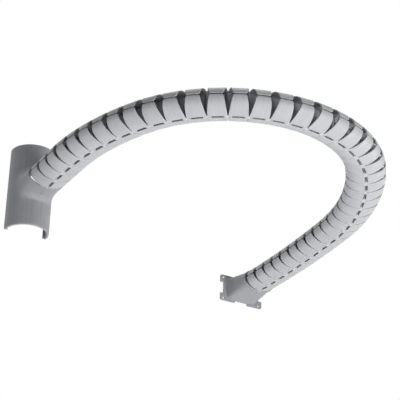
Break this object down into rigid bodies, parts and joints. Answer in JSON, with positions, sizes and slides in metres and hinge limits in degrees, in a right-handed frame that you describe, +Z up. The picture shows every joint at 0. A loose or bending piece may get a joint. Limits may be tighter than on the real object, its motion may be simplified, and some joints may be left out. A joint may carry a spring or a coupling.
{
  "type": "flexible cable duct",
  "caption": "Flexible oval cable duct: a chain of hinged plastic links between a clip-on pole adapter and a screw-on flange, for leading cables from a pole to a desk.",
  "frame": {"origin": "on the axis of the pole that the adapter clips onto, level with the middle of the duct", "axes": "+Z up along the pole; the duct leaves the adapter along -Y and turns towards +X"},
  "size_m": [0.6024, 0.6523, 0.146],
  "materials": {
    "light_plastic": "fine moulded satin",
    "grey_plastic": "fine moulded satin"
  },
  "bodies": {
    "pole_adapter": {"pole_adapter": "grey_plastic"},
    "link_01": {"link_01": "light_plastic"},
    "link_02": {"link_02": "light_plastic"},
    "link_03": {"link_03": "light_plastic"},
    "link_04": {"link_04": "light_plastic"},
    "link_05": {"link_05": "light_plastic"},
    "link_06": {"link_06": "light_plastic"},
    "link_07": {"link_07": "light_plastic"},
    "link_08": {"link_08": "light_plastic"},
    "link_09": {"link_09": "light_plastic"},
    "link_10": {"link_10": "light_plastic"},
    "link_11": {"link_11": "light_plastic"},
    "link_12": {"link_12": "light_plastic"},
    "link_13": {"link_13": "light_plastic"},
    "link_14": {"link_14": "light_plastic"},
    "link_15": {"link_15": "light_plastic"},
    "link_16": {"link_16": "light_plastic"},
    "link_17": {"link_17": "light_plastic"},
    "link_18": {"link_18": "light_plastic"},
    "link_19": {"link_19": "light_plastic"},
    "link_20": {"link_20": "light_plastic"},
    "link_21": {"link_21": "light_plastic"},
    "link_22": {"link_22": "light_plastic"},
    "link_23": {"link_23": "light_plastic"},
    "link_24": {"link_24": "light_plastic"},
    "link_25": {"link_25": "light_plastic"},
    "link_26": {"link_26": "light_plastic"},
    "link_27": {"link_27": "light_plastic"},
    "link_28": {"link_28": "light_plastic"},
    "link_29": {"link_29": "light_plastic"},
    "link_30": {"link_30": "light_plastic"},
    "link_31": {"link_31": "light_plastic"},
    "link_32": {"link_32": "light_plastic"},
    "link_33": {"link_33": "light_plastic"},
    "link_34": {"link_34": "light_plastic"},
    "link_35": {"link_35": "light_plastic"},
    "link_36": {"link_36": "light_plastic"},
    "link_37": {"link_37": "light_plastic"},
    "link_38": {"link_38": "light_plastic"},
    "link_39": {"link_39": "light_plastic"},
    "link_40": {"link_40": "light_plastic"},
    "end_flange": {"end_flange": "grey_plastic"}
  },
  "joints": [
    {"name": "pole_hinge", "type": "hinge", "parent": "pole_adapter", "child": "link_01", "pos_m": [0, -0.072, 0], "axis": [0, 0, 1], "range_deg": [-7.85, 7.85]},
    {"name": "hinge_02", "type": "hinge", "parent": "link_01", "child": "link_02", "pos_m": [0, -0.102, 0], "axis": [0, 0, 1], "range_deg": [-7.85, 7.85]},
    {"name": "hinge_03", "type": "hinge", "parent": "link_02", "child": "link_03", "pos_m": [0, -0.132, 0], "axis": [0, 0, 1], "range_deg": [-7.85, 7.85]},
    {"name": "hinge_04", "type": "hinge", "parent": "link_03", "child": "link_04", "pos_m": [0, -0.162, 0], "axis": [0, 0, 1], "range_deg": [-11.75, 3.95]},
    {"name": "hinge_05", "type": "hinge", "parent": "link_04", "child": "link_05", "pos_m": [0.00204, -0.19193, 0], "axis": [0, 0, 1], "range_deg": [-11.75, 3.95]},
    {"name": "hinge_06", "type": "hinge", "parent": "link_05", "child": "link_06", "pos_m": [0.00611, -0.22165, 0], "axis": [0, 0, 1], "range_deg": [-11.75, 3.95]},
    {"name": "hinge_07", "type": "hinge", "parent": "link_06", "child": "link_07", "pos_m": [0.0122, -0.25103, 0], "axis": [0, 0, 1], "range_deg": [-11.75, 3.95]},
    {"name": "hinge_08", "type": "hinge", "parent": "link_07", "child": "link_08", "pos_m": [0.02026, -0.27992, 0], "axis": [0, 0, 1], "range_deg": [-11.75, 3.95]},
    {"name": "hinge_09", "type": "hinge", "parent": "link_08", "child": "link_09", "pos_m": [0.03028, -0.3082, 0], "axis": [0, 0, 1], "range_deg": [-11.75, 3.95]},
    {"name": "hinge_10", "type": "hinge", "parent": "link_09", "child": "link_10", "pos_m": [0.04219, -0.33574, 0], "axis": [0, 0, 1], "range_deg": [-15.65, 0.05]},
    {"name": "hinge_11", "type": "hinge", "parent": "link_10", "child": "link_11", "pos_m": [0.05773, -0.3614, 0], "axis": [0, 0, 1], "range_deg": [-15.65, 0.05]},
    {"name": "hinge_12", "type": "hinge", "parent": "link_11", "child": "link_12", "pos_m": [0.07661, -0.38471, 0], "axis": [0, 0, 1], "range_deg": [-15.65, 0.05]},
    {"name": "hinge_13", "type": "hinge", "parent": "link_12", "child": "link_13", "pos_m": [0.09848, -0.40525, 0], "axis": [0, 0, 1], "range_deg": [-15.65, 0.05]},
    {"name": "hinge_14", "type": "hinge", "parent": "link_13", "child": "link_14", "pos_m": [0.12294, -0.42263, 0], "axis": [0, 0, 1], "range_deg": [-15.65, 0.05]},
    {"name": "hinge_15", "type": "hinge", "parent": "link_14", "child": "link_15", "pos_m": [0.14952, -0.43652, 0], "axis": [0, 0, 1], "range_deg": [-15.65, 0.05]},
    {"name": "hinge_16", "type": "hinge", "parent": "link_15", "child": "link_16", "pos_m": [0.17775, -0.44669, 0], "axis": [0, 0, 1], "range_deg": [-15.65, 0.05]},
    {"name": "hinge_17", "type": "hinge", "parent": "link_16", "child": "link_17", "pos_m": [0.20709, -0.45293, 0], "axis": [0, 0, 1], "range_deg": [-15.65, 0.05]},
    {"name": "hinge_18", "type": "hinge", "parent": "link_17", "child": "link_18", "pos_m": [0.23701, -0.45512, 0], "axis": [0, 0, 1], "range_deg": [-15.65, 0.05]},
    {"name": "hinge_19", "type": "hinge", "parent": "link_18", "child": "link_19", "pos_m": [0.26695, -0.45324, 0], "axis": [0, 0, 1], "range_deg": [-15.65, 0.05]},
    {"name": "hinge_20", "type": "hinge", "parent": "link_19", "child": "link_20", "pos_m": [0.29636, -0.44731, 0], "axis": [0, 0, 1], "range_deg": [-15.65, 0.05]},
    {"name": "hinge_21", "type": "hinge", "parent": "link_20", "child": "link_21", "pos_m": [0.32469, -0.43744, 0], "axis": [0, 0, 1], "range_deg": [-15.65, 0.05]},
    {"name": "hinge_22", "type": "hinge", "parent": "link_21", "child": "link_22", "pos_m": [0.35142, -0.42382, 0], "axis": [0, 0, 1], "range_deg": [-15.65, 0.05]},
    {"name": "hinge_23", "type": "hinge", "parent": "link_22", "child": "link_23", "pos_m": [0.37606, -0.4067, 0], "axis": [0, 0, 1], "range_deg": [-15.65, 0.05]},
    {"name": "hinge_24", "type": "hinge", "parent": "link_23", "child": "link_24", "pos_m": [0.39814, -0.38639, 0], "axis": [0, 0, 1], "range_deg": [-15.65, 0.05]},
    {"name": "hinge_25", "type": "hinge", "parent": "link_24", "child": "link_25", "pos_m": [0.41726, -0.36328, 0], "axis": [0, 0, 1], "range_deg": [-11.9, 3.8]},
    {"name": "hinge_26", "type": "hinge", "parent": "link_25", "child": "link_26", "pos_m": [0.4347, -0.33887, 0], "axis": [0, 0, 1], "range_deg": [-11.9, 3.8]},
    {"name": "hinge_27", "type": "hinge", "parent": "link_26", "child": "link_27", "pos_m": [0.45038, -0.31329, 0], "axis": [0, 0, 1], "range_deg": [-11.9, 3.8]},
    {"name": "hinge_28", "type": "hinge", "parent": "link_27", "child": "link_28", "pos_m": [0.46421, -0.28667, 0], "axis": [0, 0, 1], "range_deg": [-11.9, 3.8]},
    {"name": "hinge_29", "type": "hinge", "parent": "link_28", "child": "link_29", "pos_m": [0.47612, -0.25914, 0], "axis": [0, 0, 1], "range_deg": [-11.9, 3.8]},
    {"name": "hinge_30", "type": "hinge", "parent": "link_29", "child": "link_30", "pos_m": [0.48606, -0.23083, 0], "axis": [0, 0, 1], "range_deg": [-11.9, 3.8]},
    {"name": "hinge_31", "type": "hinge", "parent": "link_30", "child": "link_31", "pos_m": [0.49398, -0.20189, 0], "axis": [0, 0, 1], "range_deg": [-11.9, 3.8]},
    {"name": "hinge_32", "type": "hinge", "parent": "link_31", "child": "link_32", "pos_m": [0.49983, -0.17247, 0], "axis": [0, 0, 1], "range_deg": [-11.9, 3.8]},
    {"name": "hinge_33", "type": "hinge", "parent": "link_32", "child": "link_33", "pos_m": [0.50359, -0.14271, 0], "axis": [0, 0, 1], "range_deg": [-8.65, 7.05]},
    {"name": "hinge_34", "type": "hinge", "parent": "link_33", "child": "link_34", "pos_m": [0.50694, -0.11289, 0], "axis": [0, 0, 1], "range_deg": [-8.65, 7.05]},
    {"name": "hinge_35", "type": "hinge", "parent": "link_34", "child": "link_35", "pos_m": [0.50986, -0.08304, 0], "axis": [0, 0, 1], "range_deg": [-8.65, 7.05]},
    {"name": "hinge_36", "type": "hinge", "parent": "link_35", "child": "link_36", "pos_m": [0.51237, -0.05314, 0], "axis": [0, 0, 1], "range_deg": [-8.65, 7.05]},
    {"name": "hinge_37", "type": "hinge", "parent": "link_36", "child": "link_37", "pos_m": [0.51447, -0.02322, 0], "axis": [0, 0, 1], "range_deg": [-8.65, 7.05]},
    {"name": "hinge_38", "type": "hinge", "parent": "link_37", "child": "link_38", "pos_m": [0.51614, 0.00674, 0], "axis": [0, 0, 1], "range_deg": [-8.65, 7.05]},
    {"name": "hinge_39", "type": "hinge", "parent": "link_38", "child": "link_39", "pos_m": [0.5174, 0.03671, 0], "axis": [0, 0, 1], "range_deg": [-8.65, 7.05]},
    {"name": "hinge_40", "type": "hinge", "parent": "link_39", "child": "link_40", "pos_m": [0.51824, 0.0667, 0], "axis": [0, 0, 1], "range_deg": [-8.65, 7.05]},
    {"name": "flange_hinge", "type": "hinge", "parent": "link_40", "child": "end_flange", "pos_m": [0.51865, 0.0967, 0], "axis": [0, 0, 1], "range_deg": [-8.65, 7.05]}
  ]
}
